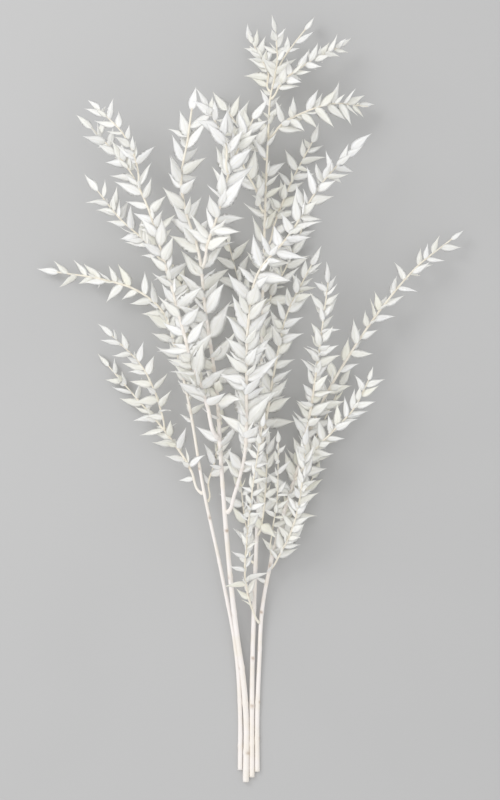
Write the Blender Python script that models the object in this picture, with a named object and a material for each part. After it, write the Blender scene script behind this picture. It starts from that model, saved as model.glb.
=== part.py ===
"""Dried, bleached ruscus: four cut stems lying together as a loose fan, butts to -Y and tips to +Y.

Every cane and every side shoot is one node: a tapering axis with its leaves fused to it. A shoot starts
a hair's breadth off the cane or shoot that bears it. Metres, +Z up; the bunch lies on z = 0.
"""

import math
from collections import namedtuple

import bmesh
import bpy
import numpy as np
from mathutils.bvhtree import BVHTree

MM = 0.001
SEED = 7

# Driving dimensions of the leaves, in millimetres or as shares of a leaf's length
BLADE_THICKNESS = 0.9
LEAF_WIDTH_SHARE = 0.38
LARGE_LEAF = 40.0
LARGE_SECTIONS = ((0.12, 0.72), (0.33, 1.0), (0.66, 0.57))
SMALL_SECTIONS = ((0.26, 1.0), (0.63, 0.60))
LEAF_ANGLE = 56.0
TIP_ANGLE = 36.0
BLADE_FOLD = 0.18

# How far the seeded draws carry a leaf either way: degrees, then shares of its length
ANGLE_SWING = 20.0
TWIST_SWING = 48.0
LENGTH_SWING = 0.20
BEND_SWING = 0.19
SICKLE_SWING = 0.14

# Room kept between neighbouring pieces, in millimetres
JOINT_GAP = 0.3
LEAF_CLEARANCE = 0.6
TURNS = (0, 18, -18, 36, -36, 58, -58, 85)
SHRINKS = (1.0, 0.86, 0.7)

CANE_SIDES_RESOLUTION = 1
SHOOT_SIDES_RESOLUTION = 0
CANE_STEP = 31.0
SHOOT_STEP = 20.0
SHOOT_OUTWARD = 0.8
SHOOT_FORWARD = 0.6
SHOOT_COLLAR = 3.0
FINE_POINTS = 400

# The middle of the finished bunch in the routes' own frame; the part's origin goes there
MIDDLE = (-1.811, 5.321)

# name, the piece that bears it, the y where it leaves that piece, its route, the share of it that is bare,
# its number of leaves, leaf length low and high on it, its radius low and high, and how far its leaves
# roll out of two flat ranks, in degrees. Lengths are in millimetres.
Axis = namedtuple("Axis", "name bearer leaves_at route bare leaves leaf_length radius spread")

AXES = [
    Axis("left_cane", None, None,
         [(-14.3, -461, 2.3), (-14.3, -390, 2.3), (-18, -324, 5), (-38, -209, 17), (-59, -111, 27),
          (-81, 16, 37), (-95, 72, 40), (-111, 116, 39), (-143, 142, 34), (-182, 155, 27), (-244, 166, 14)],
         0.70, 22, (34, 26), (3.0, 0.9), 25),
    Axis("thick_cane", None, None,
         [(-7, -476, 3.1), (-7, -390, 3.1), (-11, -341, 6), (-18, -292, 12), (-31, -164, 34), (-37, -83, 46),
          (-43, 17, 58), (-57, 117, 69), (-66, 192, 76), (-80, 235, 80), (-86, 270, 82), (-78, 324, 82),
          (-73, 362, 80)],
         0.56, 26, (50, 38), (3.9, 1.1), 60),
    Axis("tall_cane", None, None,
         [(0.6, -470, 2.5), (0.6, -390, 2.5), (1, -335, 4), (3, -263, 8), (11, -48, 20), (13, 80, 26),
          (16, 205, 32), (21, 335, 38), (25, 390, 37), (37, 426, 33), (53, 450, 28), (68, 470, 21)],
         0.50, 28, (38, 26), (3.3, 0.8), 60),
    Axis("right_cane", None, None,
         [(7.4, -463, 2.3), (7.4, -390, 2.3), (10, -324, 4), (13, -263, 8), (31, -172, 18), (58, -80, 30),
          (81, -13, 36), (121, 60, 41), (166, 125, 40), (207, 172, 33), (251, 207, 20)],
         0.42, 34, (34, 26), (3.1, 0.8), 35),
    Axis("left_low_shoot", "left_cane", -111,
         [(-75, -84, 25), (-108, -34, 22), (-143, 6, 14), (-180, 48, 5)],
         0.18, 16, (32, 22), (1.7, 0.7), 35),
    Axis("left_low_twig", "left_low_shoot", -32,
         [(-114, -3, 38), (-134, 44, 43), (-173, 85, 36)],
         0.20, 11, (28, 24), (1.2, 0.6), 35),
    Axis("left_inner_shoot", "left_cane", -122,
         [(-54, -99, 22), (-47, -76, 17), (-42, -47, 12), (-38, -18, 9)],
         0.30, 6, (28, 22), (1.2, 0.6), 40),
    Axis("left_mid_shoot", "left_cane", 6,
         [(-77, 37, 25), (-73, 72, 17), (-76, 110, 10), (-99, 176, 5)],
         0.20, 13, (38, 28), (1.4, 0.7), 40),
    Axis("thick_left_branch", "thick_cane", -39,
         [(-54, -3, 70), (-77, 66, 81), (-91, 118, 82), (-109, 182, 81), (-129, 246, 75), (-151, 289, 67),
          (-198, 342, 51)],
         0.10, 38, (44, 26), (2.4, 0.7), 50),
    Axis("thick_left_twig", "thick_left_branch", 270,
         [(-141, 296, 80), (-156, 329, 82), (-186, 361, 73)],
         0.20, 11, (28, 22), (1.1, 0.6), 55),
    Axis("thick_left_side", "thick_left_branch", 177,
         [(-125, 195, 66), (-163, 230, 53), (-191, 265, 41)],
         0.15, 12, (34, 26), (1.3, 0.6), 40),
    Axis("thick_fork", "thick_cane", 169,
         [(-54, 193, 90), (-41, 230, 100), (-26, 285, 105), (2, 347, 97)],
         0.12, 14, (50, 36), (1.8, 0.8), 50),
    Axis("thick_fork_twig", "thick_fork", 281,
         [(-30, 307, 115), (-53, 360, 112)],
         0.25, 7, (36, 30), (1.1, 0.7), 45),
    Axis("thick_right_branch", "thick_cane", -135,
         [(-22, -115, 49), (-8, -60, 74), (-6, 6, 92), (-4, 97, 104), (7, 157, 110), (44, 203, 107),
          (85, 268, 96), (123, 312, 80)],
         0.20, 44, (48, 28), (2.3, 0.7), 50),
    Axis("front_slender_shoot", "right_cane", -274,
         [(3, -262, 17), (-8, -214, 37), (-6, -172, 52), (1, -105, 76), (13, -27, 94)],
         0.16, 24, (27, 20), (1.3, 0.6), 65),
    Axis("tall_left_low", "tall_cane", 241,
         [(7, 263, 44), (-6, 287, 51), (-24, 334, 56)],
         0.15, 8, (38, 30), (1.3, 0.7), 45),
    Axis("tall_left_high", "tall_cane", 305,
         [(6, 323, 33), (-9, 339, 27), (-31, 369, 16)],
         0.20, 8, (34, 28), (1.2, 0.7), 45),
    Axis("tall_right_long", "tall_cane", 330,
         [(35, 345, 45), (66, 362, 49), (101, 373, 43), (145, 372, 27)],
         0.10, 15, (32, 26), (1.3, 0.6), 18),
    Axis("tall_top_right", "tall_cane", 380,
         [(36, 397, 47), (62, 418, 48), (110, 446, 34)],
         0.12, 14, (28, 22), (1.2, 0.6), 50),
    Axis("tall_top_left", "tall_cane", 391,
         [(21, 413, 34), (14, 428, 29), (0, 455, 19)],
         0.12, 10, (28, 22), (1.1, 0.6), 55),
    Axis("tall_top_mid", "tall_cane", 402,
         [(32, 426, 52), (31, 444, 58), (30, 459, 61)],
         0.15, 7, (26, 22), (1.0, 0.6), 60),
    Axis("tall_right_mid", "tall_cane", 197,
         [(29, 226, 24), (48, 274, 20), (76, 328, 22)],
         0.12, 14, (34, 26), (1.4, 0.6), 45),
    Axis("tall_right_low", "tall_cane", -48,
         [(18, -22, 33), (29, 44, 50), (43, 109, 62), (74, 172, 61)],
         0.10, 24, (36, 26), (1.6, 0.7), 45),
    Axis("tall_back_left", "tall_cane", 66,
         [(2, 105, 19), (-11, 140, 14), (-31, 210, 10)],
         0.15, 11, (38, 28), (1.3, 0.7), 35),
    Axis("tall_back_right", "tall_cane", 110,
         [(26, 140, 16), (42, 169, 11), (66, 226, 9)],
         0.15, 10, (34, 26), (1.3, 0.7), 35),
    Axis("right_thin_shoot", "right_cane", -188,
         [(26, -159, 31), (31, -126, 44), (33, -47, 62)],
         0.25, 10, (24, 18), (0.9, 0.5), 40),
    Axis("right_low_shoot", "right_cane", -93,
         [(68, -69, 42), (99, -35, 56), (128, -3, 57), (145, 30, 50)],
         0.08, 22, (30, 22), (1.5, 0.6), 45),
    Axis("right_upright_shoot", "right_cane", -58,
         [(70, -25, 48), (81, 50, 67), (94, 149, 73)],
         0.08, 26, (34, 26), (1.6, 0.7), 50),
    Axis("right_droop_shoot", "right_cane", -166,
         [(45, -148, 14), (57, -128, 9), (77, -93, 6)],
         0.15, 9, (30, 24), (1.1, 0.6), 30),
    Axis("right_back_shoot", "right_cane", -133,
         [(53, -104, 17), (68, -71, 11), (112, 23, 9)],
         0.12, 13, (30, 24), (1.3, 0.6), 30),
    Axis("right_front_shoot", "right_cane", -205,
         [(34, -190, 30), (52, -150, 48), (62, -100, 62), (66, -50, 74)],
         0.12, 17, (32, 24), (1.2, 0.6), 60),
    Axis("tall_low_front", "tall_cane", -165,
         [(14, -142, 28), (18, -100, 36), (20, -50, 40)],
         0.12, 12, (32, 26), (1.2, 0.6), 55),
    Axis("tall_low_back", "tall_cane", -200,
         [(-2, -178, 9), (-9, -140, 8), (-14, -90, 8)],
         0.15, 9, (32, 26), (1.1, 0.6), 30),
]


def unit(vector):
    """The vector, or each row of an array of them, at length one."""
    vector = np.asarray(vector, float)
    return vector / np.linalg.norm(vector, axis=-1, keepdims=True)


def smooth_route(points):
    """A cubic through the points, each point's slope from its neighbours, as evenly spaced points."""
    points = np.array(points, float)
    knots = np.concatenate([[0], np.cumsum(np.linalg.norm(np.diff(points, axis=0), axis=1))])
    slopes = np.gradient(points, knots, axis=0)
    along = np.linspace(0, knots[-1], FINE_POINTS)
    left = np.clip(np.searchsorted(knots, along, side="right") - 1, 0, len(knots) - 2)
    span = (knots[left + 1] - knots[left])[:, None]
    t = ((along - knots[left])[:, None]) / span
    curve = (
        (2 * t**3 - 3 * t**2 + 1) * points[left]
        + (t**3 - 2 * t**2 + t) * span * slopes[left]
        + (3 * t**2 - 2 * t**3) * points[left + 1]
        + (t**3 - t**2) * span * slopes[left + 1]
    )
    walked = np.concatenate([[0], np.cumsum(np.linalg.norm(np.diff(curve, axis=0), axis=1))])
    even = np.linspace(0, walked[-1], FINE_POINTS)
    return np.stack([np.interp(even, walked, curve[:, k]) for k in range(3)], axis=1)


def route_length(route):
    return float(np.linalg.norm(np.diff(route, axis=0), axis=1).sum())


def at_share(route, share):
    """The point and the direction at a share of a route's length."""
    index = int(round(share * (FINE_POINTS - 1)))
    before, after = max(index - 2, 0), min(index + 2, FINE_POINTS - 1)
    return route[index], unit(route[after] - route[before])


def radius_at(axis, share):
    low, high = axis.radius
    return low + (high - low) * share


def route_of(axis, routes):
    """The route of a cane as given, or of a shoot from the surface of its bearer outwards."""
    if axis.bearer is None:
        return smooth_route(axis.route)
    bearer, bearer_route = routes[axis.bearer]
    index = int(np.abs(bearer_route[:, 1] - axis.leaves_at).argmin())
    share = index / (FINE_POINTS - 1)
    point, forward = at_share(chorded(bearer, bearer_route), share)
    outward = np.array(axis.route[0], float) - point
    outward = unit(outward - forward * (outward @ forward))
    heading = SHOOT_OUTWARD * outward + SHOOT_FORWARD * forward
    reach = radius_at(bearer, share) + JOINT_GAP + SHOOT_FORWARD * axis.radius[0]
    start = point + outward * reach
    return smooth_route([start, start + heading * SHOOT_COLLAR, *axis.route])


def ring_shares(axis, route):
    """The shares of the route where the tube has a ring: evenly, with one more just past a shoot's start."""
    length = route_length(route)
    step = CANE_STEP if axis.bearer is None else SHOOT_STEP
    shares = np.linspace(0, 1, max(3, round(length / step)) + 1)
    if axis.bearer is not None:
        shares = np.insert(shares, 1, SHOOT_COLLAR / length)
    return shares


def chorded(axis, route):
    """The straight chords between the tube's rings, as FINE_POINTS points, so that leaves root on the tube."""
    shares = ring_shares(axis, route)
    rings = route[np.round(shares * (FINE_POINTS - 1)).astype(int)]
    fine = np.linspace(0, 1, FINE_POINTS)
    return np.stack([np.interp(fine, shares, rings[:, k]) for k in range(3)], axis=1)


def leaf_frames(axis, route, index):
    """Where each leaf grows and how it lies: two alternate ranks, rolled and bent by seeded draws."""
    chords = chorded(axis, route)
    draws = np.random.default_rng(SEED * 100 + index).uniform(-1, 1, (axis.leaves, 7))
    frames = []
    for number, draw in enumerate(draws):
        share = axis.bare + (0.995 - axis.bare) * (number + 0.3 + 0.2 * draw[0]) / (axis.leaves - 0.5)
        last = number == axis.leaves - 1
        root, forward = at_share(chords, 0.997 if last else min(share, 0.99))
        left = unit(np.cross((0, 0, 1), forward))
        upward = np.cross(forward, left)
        rank = 1 if number % 2 else -1
        low, high = axis.leaf_length
        climb = (share - axis.bare) / (1 - axis.bare)
        leaning = LEAF_ANGLE + (TIP_ANGLE - LEAF_ANGLE) * climb + ANGLE_SWING * draw[1]
        frames.append({
            "root": root,
            "forward": forward,
            "left": left * rank,
            "upward": upward,
            "angle": 8 * draw[1] if last else leaning,
            "roll": axis.spread * draw[2] + 8,
            "twist": TWIST_SWING * draw[3],
            "length": (low + (high - low) * climb) * (1 + LENGTH_SWING * draw[4]),
            "bend": -0.03 + BEND_SWING * draw[5],
            "sickle": SICKLE_SWING * draw[6],
        })
    return frames


def blade_points(frame, turn=0.0, shrink=1.0, extra=0.0):
    """The petiole's end inside the twig, rings of three points for both edges and the ridge, and the tip."""
    roll, angle = math.radians(frame["roll"] + turn), math.radians(frame["angle"])
    sideways = math.cos(roll) * frame["left"] + math.sin(roll) * frame["upward"]
    ahead = unit(math.cos(angle) * frame["forward"] + math.sin(angle) * sideways)
    face = unit(np.array((0, 0, 1)) - ahead * ahead[2])
    across = np.cross(face, ahead)
    twist = math.radians(frame["twist"])
    face, across = (
        math.cos(twist) * face + math.sin(twist) * across,
        math.cos(twist) * across - math.sin(twist) * face,
    )
    length = frame["length"] * shrink
    sections = LARGE_SECTIONS if length >= LARGE_LEAF else SMALL_SECTIONS
    half_width = LEAF_WIDTH_SHARE * length / 2
    ridge = BLADE_THICKNESS + extra

    def middle(share):
        drift = across * frame["sickle"] + face * frame["bend"]
        return frame["root"] + length * (ahead * share + drift * share**2)

    rings = []
    for share, width in sections:
        centre = middle(share)
        out = half_width * width + extra
        droop = face * (out * BLADE_FOLD + BLADE_THICKNESS / 3 + extra)
        rings.append([centre + across * out - droop, centre + face * ridge, centre - across * out - droop])
    return middle(0.0), np.array(rings), middle(1.0) + ahead * extra * 2


def blade_mesh(root, rings, tip):
    """The blade as points and triangles: two slopes up to the ridge and a flat back."""
    points = np.vstack([root, rings.reshape(-1, 3), tip])
    tip_index = len(points) - 1
    faces = []
    for side, following in ((0, 1), (1, 2), (2, 0)):
        faces.append((0, 1 + following, 1 + side))
        for low in range(1, tip_index - 3, 3):
            faces.append((low + side, low + following, low + 3 + following))
            faces.append((low + side, low + 3 + following, low + 3 + side))
        faces.append((tip_index - 3 + side, tip_index - 3 + following, tip_index))
    return points, faces


def tree_of(meshes):
    """One search tree over several meshes' triangles."""
    points, faces, start = [], [], 0
    for vertices, triangles in meshes:
        points.extend(map(tuple, vertices))
        faces.extend(tuple(start + corner for corner in triangle) for triangle in triangles)
        start += len(vertices)
    return BVHTree.FromPolygons(points, faces)


def is_clear(points, faces, trees, own_tree):
    """Whether a blade keeps off the surface, every other piece and, past its petiole, its neighbours."""
    if points[:, 2].min() < LEAF_CLEARANCE / 2:
        return False
    blade = tree_of([(points, faces)])
    if any(other.overlap(blade) for other in trees):
        return False
    beyond_petiole = tree_of([(points, [face for face in faces if min(face) > 0])])
    return own_tree is None or not own_tree.overlap(beyond_petiole)


def find_room(frame, trees, own_tree):
    """The first turn and size at which both the blade and a swollen copy of it are clear, or None.

    The swollen copy's edges droop further than the blade's own, so it alone doesn't hold the whole blade.
    """
    for shrink in SHRINKS:
        for turn in TURNS:
            blades = [blade_mesh(*blade_points(frame, turn, shrink, extra)) for extra in (0.0, LEAF_CLEARANCE)]
            if all(is_clear(*blade, trees, own_tree) for blade in blades):
                return turn, shrink
    return None


def axis_object(axis, route, collection):
    """The bare axis as a mesh: a tapering curve with closed ends, welded."""
    shares = ring_shares(axis, route)
    curve = bpy.data.curves.new(axis.name + "_line", "CURVE")
    curve.dimensions = "3D"
    curve.twist_mode = "Z_UP"
    curve.bevel_depth = MM
    curve.bevel_resolution = CANE_SIDES_RESOLUTION if axis.bearer is None else SHOOT_SIDES_RESOLUTION
    curve.use_fill_caps = True
    spline = curve.splines.new("POLY")
    spline.points.add(len(shares) - 1)
    for point, share in zip(spline.points, shares):
        place = route[int(round(share * (FINE_POINTS - 1)))]
        point.co = (*(place * MM), 1.0)
        point.radius = radius_at(axis, share)
    line = bpy.data.objects.new(axis.name + "_line", curve)
    collection.objects.link(line)
    bpy.context.view_layer.update()
    mesh = bpy.data.meshes.new_from_object(line.evaluated_get(bpy.context.evaluated_depsgraph_get()))
    bpy.data.objects.remove(line)
    weld(mesh)
    solid = bpy.data.objects.new(axis.name, mesh)
    collection.objects.link(solid)
    return solid


def weld(mesh):
    """Closes a curve's caps onto its sides and turns every face outwards."""
    shape = bmesh.new()
    shape.from_mesh(mesh)
    bmesh.ops.remove_doubles(shape, verts=shape.verts, dist=1e-6)
    bmesh.ops.recalc_face_normals(shape, faces=shape.faces)
    shape.to_mesh(mesh)
    shape.free()


def blade_object(name, points, faces, collection):
    mesh = bpy.data.meshes.new(name)
    mesh.from_pydata(points * MM, [], faces)
    weld(mesh)
    collection.objects.link(bpy.data.objects.new(name, mesh))


def fuse(solid, blades):
    """Joins the blades to their axis in one closed body, and removes the loose ones."""
    join = solid.modifiers.new("leaves", "BOOLEAN")
    join.operation = "UNION"
    join.operand_type = "COLLECTION"
    join.collection = blades
    join.solver = "MANIFOLD"
    bpy.context.view_layer.update()
    graph = bpy.context.evaluated_depsgraph_get()
    fused = bpy.data.meshes.new_from_object(solid.evaluated_get(graph))
    solid.modifiers.clear()
    solid.data = fused
    for blade in list(blades.objects):
        bpy.data.objects.remove(blade)
    bpy.data.collections.remove(blades)


def finish_material(name, colour, roughness):
    material = bpy.data.materials.new(name)
    material.use_nodes = True
    shader = material.node_tree.nodes["Principled BSDF"]
    shader.inputs["Base Color"].default_value = (*colour, 1.0)
    shader.inputs["Roughness"].default_value = roughness
    shader.inputs["Metallic"].default_value = 0.0
    return material


def flatten_underside(solids, cutters):
    """A cutter below the surface planes a narrow flat along each cane's butt, where the bunch rests."""
    shape = bmesh.new()
    bmesh.ops.create_cube(shape, size=1.0)
    bmesh.ops.scale(shape, verts=shape.verts, vec=(0.2, 0.4, 0.02))
    bmesh.ops.translate(shape, verts=shape.verts, vec=(0.0, -0.4, -0.01))
    mesh = bpy.data.meshes.new("surface_cutter")
    shape.to_mesh(mesh)
    shape.free()
    cutter = bpy.data.objects.new("surface_cutter", mesh)
    cutter.hide_render = True
    cutter.display_type = "WIRE"
    cutters.objects.link(cutter)
    for solid in solids:
        cut = solid.modifiers.new("resting_flat", "BOOLEAN")
        cut.operation = "DIFFERENCE"
        cut.object = cutter


def build():
    for leftover in list(bpy.data.objects):
        bpy.data.objects.remove(leftover)
    bunch = bpy.data.collections.new("dried_ruscus")
    cutters = bpy.data.collections.new("cutters")
    for collection in (bunch, cutters):
        bpy.context.scene.collection.children.link(collection)
    wood = finish_material("bleached_wood", (0.86, 0.80, 0.70), 0.6)
    leaf = finish_material("bleached_leaf", (0.93, 0.93, 0.91), 0.65)

    routes, solids, shapes = {}, {}, {}
    for axis in AXES:
        routes[axis.name] = (axis, route_of(axis, routes))
        solids[axis.name] = axis_object(axis, routes[axis.name][1], bunch)
        mesh = solids[axis.name].data
        corners = np.array([vertex.co for vertex in mesh.vertices]) / MM
        shapes[axis.name] = [(corners, [tuple(face.vertices) for face in mesh.polygons])]
    trees = {name: tree_of(shape) for name, shape in shapes.items()}

    placed = dropped = 0
    for index, axis in enumerate(AXES):
        blades = bpy.data.collections.new(axis.name + "_leaves")
        bpy.context.scene.collection.children.link(blades)
        own = []
        others = [tree for name, tree in trees.items() if name != axis.name]
        for number, frame in enumerate(leaf_frames(axis, routes[axis.name][1], index)):
            room = find_room(frame, others, tree_of(own) if own else None)
            if room is None:
                dropped += 1
                continue
            points, faces = blade_mesh(*blade_points(frame, *room))
            own.append((points, faces))
            blade_object(f"{axis.name}_leaf_{number}", points, faces, blades)
            placed += 1
        trees[axis.name] = tree_of(shapes[axis.name] + own)
        fuse(solids[axis.name], blades)
        solids[axis.name].data.materials.clear()
        solids[axis.name].data.materials.append(wood if axis.bearer is None else leaf)
    flatten_underside([solids[axis.name] for axis in AXES if axis.bearer is None], cutters)
    for piece in [*bunch.objects, *cutters.objects]:
        piece.location = (-MIDDLE[0] * MM, -MIDDLE[1] * MM, 0.0)
    print(f"{placed} leaves placed, {dropped} left out for want of room")


build()
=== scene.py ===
# %% [markdown]
# # Dried, bleached ruscus
# Four cut canes lie together as a loose fan. Each bears shoots with two ranks of small pointed leaves.
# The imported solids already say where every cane, shoot and leaf is. This lesson dresses them: it works
# the same routes out again and carries finer tubes and thinner leaves along them.

# %% Load the frame
import math
from collections import namedtuple

import bpy
import numpy as np
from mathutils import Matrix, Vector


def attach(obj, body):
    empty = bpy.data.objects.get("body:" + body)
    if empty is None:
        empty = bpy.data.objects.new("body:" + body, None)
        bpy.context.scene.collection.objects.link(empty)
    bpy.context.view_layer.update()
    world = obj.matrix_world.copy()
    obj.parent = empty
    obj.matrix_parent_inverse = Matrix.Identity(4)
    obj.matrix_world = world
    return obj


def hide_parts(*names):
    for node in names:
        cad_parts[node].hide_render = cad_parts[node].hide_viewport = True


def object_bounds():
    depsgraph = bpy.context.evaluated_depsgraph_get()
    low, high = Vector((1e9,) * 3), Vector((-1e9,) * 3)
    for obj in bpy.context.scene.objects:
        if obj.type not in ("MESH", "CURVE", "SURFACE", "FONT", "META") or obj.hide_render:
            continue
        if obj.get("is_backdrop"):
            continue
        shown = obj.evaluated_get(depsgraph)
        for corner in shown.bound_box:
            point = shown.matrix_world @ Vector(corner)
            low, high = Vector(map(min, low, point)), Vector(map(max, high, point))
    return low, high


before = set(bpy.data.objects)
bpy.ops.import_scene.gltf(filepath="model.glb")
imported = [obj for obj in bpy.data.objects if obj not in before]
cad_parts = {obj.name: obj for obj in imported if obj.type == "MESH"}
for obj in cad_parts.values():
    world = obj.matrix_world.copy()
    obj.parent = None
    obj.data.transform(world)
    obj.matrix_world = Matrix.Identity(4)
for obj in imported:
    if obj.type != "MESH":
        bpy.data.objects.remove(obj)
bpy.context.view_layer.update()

MM = 0.001
print("frame:", len(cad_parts), "nodes")

# %% [markdown]
# ## The axes
# On the plant, every leafy line is an axis: a cane that was cut, or a shoot that grew from one. A table of
# a few route points each is enough, because a smooth curve fills in the rest. Lengths are in millimetres.
# A row holds the axis's name, the axis that bears it and the Y at which it leaves that, its route, the
# share at its base that is bare, its number of leaves, their length and the stem's radius at base and tip,
# and how many degrees its leaves may lean out of their two ranks.

# %% The table of axes
# The point of the table that lies at the frame's zero.
MIDDLE = np.array((-1.811, 5.321, 0.0))
Axis = namedtuple("Axis", "name bearer leaves_at route bare leaves leaf_length radius spread")

AXES = [
    Axis("left_cane", None, None,
         [(-14.3, -461, 2.3), (-14.3, -390, 2.3), (-18, -324, 5), (-38, -209, 17), (-59, -111, 27),
          (-81, 16, 37), (-95, 72, 40), (-111, 116, 39), (-143, 142, 34), (-182, 155, 27), (-244, 166, 14)],
         0.70, 22, (34, 26), (3.0, 0.9), 25),
    Axis("thick_cane", None, None,
         [(-7, -476, 3.1), (-7, -390, 3.1), (-11, -341, 6), (-18, -292, 12), (-31, -164, 34), (-37, -83, 46),
          (-43, 17, 58), (-57, 117, 69), (-66, 192, 76), (-80, 235, 80), (-86, 270, 82), (-78, 324, 82),
          (-73, 362, 80)],
         0.56, 26, (50, 38), (3.9, 1.1), 60),
    Axis("tall_cane", None, None,
         [(0.6, -470, 2.5), (0.6, -390, 2.5), (1, -335, 4), (3, -263, 8), (11, -48, 20), (13, 80, 26),
          (16, 205, 32), (21, 335, 38), (25, 390, 37), (37, 426, 33), (53, 450, 28), (68, 470, 21)],
         0.50, 28, (38, 26), (3.3, 0.8), 60),
    Axis("right_cane", None, None,
         [(7.4, -463, 2.3), (7.4, -390, 2.3), (10, -324, 4), (13, -263, 8), (31, -172, 18), (58, -80, 30),
          (81, -13, 36), (121, 60, 41), (166, 125, 40), (207, 172, 33), (251, 207, 20)],
         0.42, 34, (34, 26), (3.1, 0.8), 35),
    Axis("left_low_shoot", "left_cane", -111,
         [(-75, -84, 25), (-108, -34, 22), (-143, 6, 14), (-180, 48, 5)],
         0.18, 16, (32, 22), (1.7, 0.7), 35),
    Axis("left_low_twig", "left_low_shoot", -32,
         [(-114, -3, 38), (-134, 44, 43), (-173, 85, 36)],
         0.20, 11, (28, 24), (1.2, 0.6), 35),
    Axis("left_inner_shoot", "left_cane", -122,
         [(-54, -99, 22), (-47, -76, 17), (-42, -47, 12), (-38, -18, 9)],
         0.30, 6, (28, 22), (1.2, 0.6), 40),
    Axis("left_mid_shoot", "left_cane", 6,
         [(-77, 37, 25), (-73, 72, 17), (-76, 110, 10), (-99, 176, 5)],
         0.20, 13, (38, 28), (1.4, 0.7), 40),
    Axis("thick_left_branch", "thick_cane", -39,
         [(-54, -3, 70), (-77, 66, 81), (-91, 118, 82), (-109, 182, 81), (-129, 246, 75), (-151, 289, 67),
          (-198, 342, 51)],
         0.10, 38, (44, 26), (2.4, 0.7), 50),
    Axis("thick_left_twig", "thick_left_branch", 270,
         [(-141, 296, 80), (-156, 329, 82), (-186, 361, 73)],
         0.20, 11, (28, 22), (1.1, 0.6), 55),
    Axis("thick_left_side", "thick_left_branch", 177,
         [(-125, 195, 66), (-163, 230, 53), (-191, 265, 41)],
         0.15, 12, (34, 26), (1.3, 0.6), 40),
    Axis("thick_fork", "thick_cane", 169,
         [(-54, 193, 90), (-41, 230, 100), (-26, 285, 105), (2, 347, 97)],
         0.12, 14, (50, 36), (1.8, 0.8), 50),
    Axis("thick_fork_twig", "thick_fork", 281,
         [(-30, 307, 115), (-53, 360, 112)],
         0.25, 7, (36, 30), (1.1, 0.7), 45),
    Axis("thick_right_branch", "thick_cane", -135,
         [(-22, -115, 49), (-8, -60, 74), (-6, 6, 92), (-4, 97, 104), (7, 157, 110), (44, 203, 107),
          (85, 268, 96), (123, 312, 80)],
         0.20, 44, (48, 28), (2.3, 0.7), 50),
    Axis("front_slender_shoot", "right_cane", -274,
         [(3, -262, 17), (-8, -214, 37), (-6, -172, 52), (1, -105, 76), (13, -27, 94)],
         0.16, 24, (27, 20), (1.3, 0.6), 65),
    Axis("tall_left_low", "tall_cane", 241,
         [(7, 263, 44), (-6, 287, 51), (-24, 334, 56)],
         0.15, 8, (38, 30), (1.3, 0.7), 45),
    Axis("tall_left_high", "tall_cane", 305,
         [(6, 323, 33), (-9, 339, 27), (-31, 369, 16)],
         0.20, 8, (34, 28), (1.2, 0.7), 45),
    Axis("tall_right_long", "tall_cane", 330,
         [(35, 345, 45), (66, 362, 49), (101, 373, 43), (145, 372, 27)],
         0.10, 15, (32, 26), (1.3, 0.6), 18),
    Axis("tall_top_right", "tall_cane", 380,
         [(36, 397, 47), (62, 418, 48), (110, 446, 34)],
         0.12, 14, (28, 22), (1.2, 0.6), 50),
    Axis("tall_top_left", "tall_cane", 391,
         [(21, 413, 34), (14, 428, 29), (0, 455, 19)],
         0.12, 10, (28, 22), (1.1, 0.6), 55),
    Axis("tall_top_mid", "tall_cane", 402,
         [(32, 426, 52), (31, 444, 58), (30, 459, 61)],
         0.15, 7, (26, 22), (1.0, 0.6), 60),
    Axis("tall_right_mid", "tall_cane", 197,
         [(29, 226, 24), (48, 274, 20), (76, 328, 22)],
         0.12, 14, (34, 26), (1.4, 0.6), 45),
    Axis("tall_right_low", "tall_cane", -48,
         [(18, -22, 33), (29, 44, 50), (43, 109, 62), (74, 172, 61)],
         0.10, 24, (36, 26), (1.6, 0.7), 45),
    Axis("tall_back_left", "tall_cane", 66,
         [(2, 105, 19), (-11, 140, 14), (-31, 210, 10)],
         0.15, 11, (38, 28), (1.3, 0.7), 35),
    Axis("tall_back_right", "tall_cane", 110,
         [(26, 140, 16), (42, 169, 11), (66, 226, 9)],
         0.15, 10, (34, 26), (1.3, 0.7), 35),
    Axis("right_thin_shoot", "right_cane", -188,
         [(26, -159, 31), (31, -126, 44), (33, -47, 62)],
         0.25, 10, (24, 18), (0.9, 0.5), 40),
    Axis("right_low_shoot", "right_cane", -93,
         [(68, -69, 42), (99, -35, 56), (128, -3, 57), (145, 30, 50)],
         0.08, 22, (30, 22), (1.5, 0.6), 45),
    Axis("right_upright_shoot", "right_cane", -58,
         [(70, -25, 48), (81, 50, 67), (94, 149, 73)],
         0.08, 26, (34, 26), (1.6, 0.7), 50),
    Axis("right_droop_shoot", "right_cane", -166,
         [(45, -148, 14), (57, -128, 9), (77, -93, 6)],
         0.15, 9, (30, 24), (1.1, 0.6), 30),
    Axis("right_back_shoot", "right_cane", -133,
         [(53, -104, 17), (68, -71, 11), (112, 23, 9)],
         0.12, 13, (30, 24), (1.3, 0.6), 30),
    Axis("right_front_shoot", "right_cane", -205,
         [(34, -190, 30), (52, -150, 48), (62, -100, 62), (66, -50, 74)],
         0.12, 17, (32, 24), (1.2, 0.6), 60),
    Axis("tall_low_front", "tall_cane", -165,
         [(14, -142, 28), (18, -100, 36), (20, -50, 40)],
         0.12, 12, (32, 26), (1.2, 0.6), 55),
    Axis("tall_low_back", "tall_cane", -200,
         [(-2, -178, 9), (-9, -140, 8), (-14, -90, 8)],
         0.15, 9, (32, 26), (1.1, 0.6), 30),
]
print("axes:", len(AXES), "with", sum(axis.leaves for axis in AXES), "leaves")

# %% [markdown]
# ## The routes
# A stem bends evenly, so a cubic through a few points carries it better than straight runs. Each shoot
# starts at the surface of the axis that bears it, where a bud would have broken.

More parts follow.
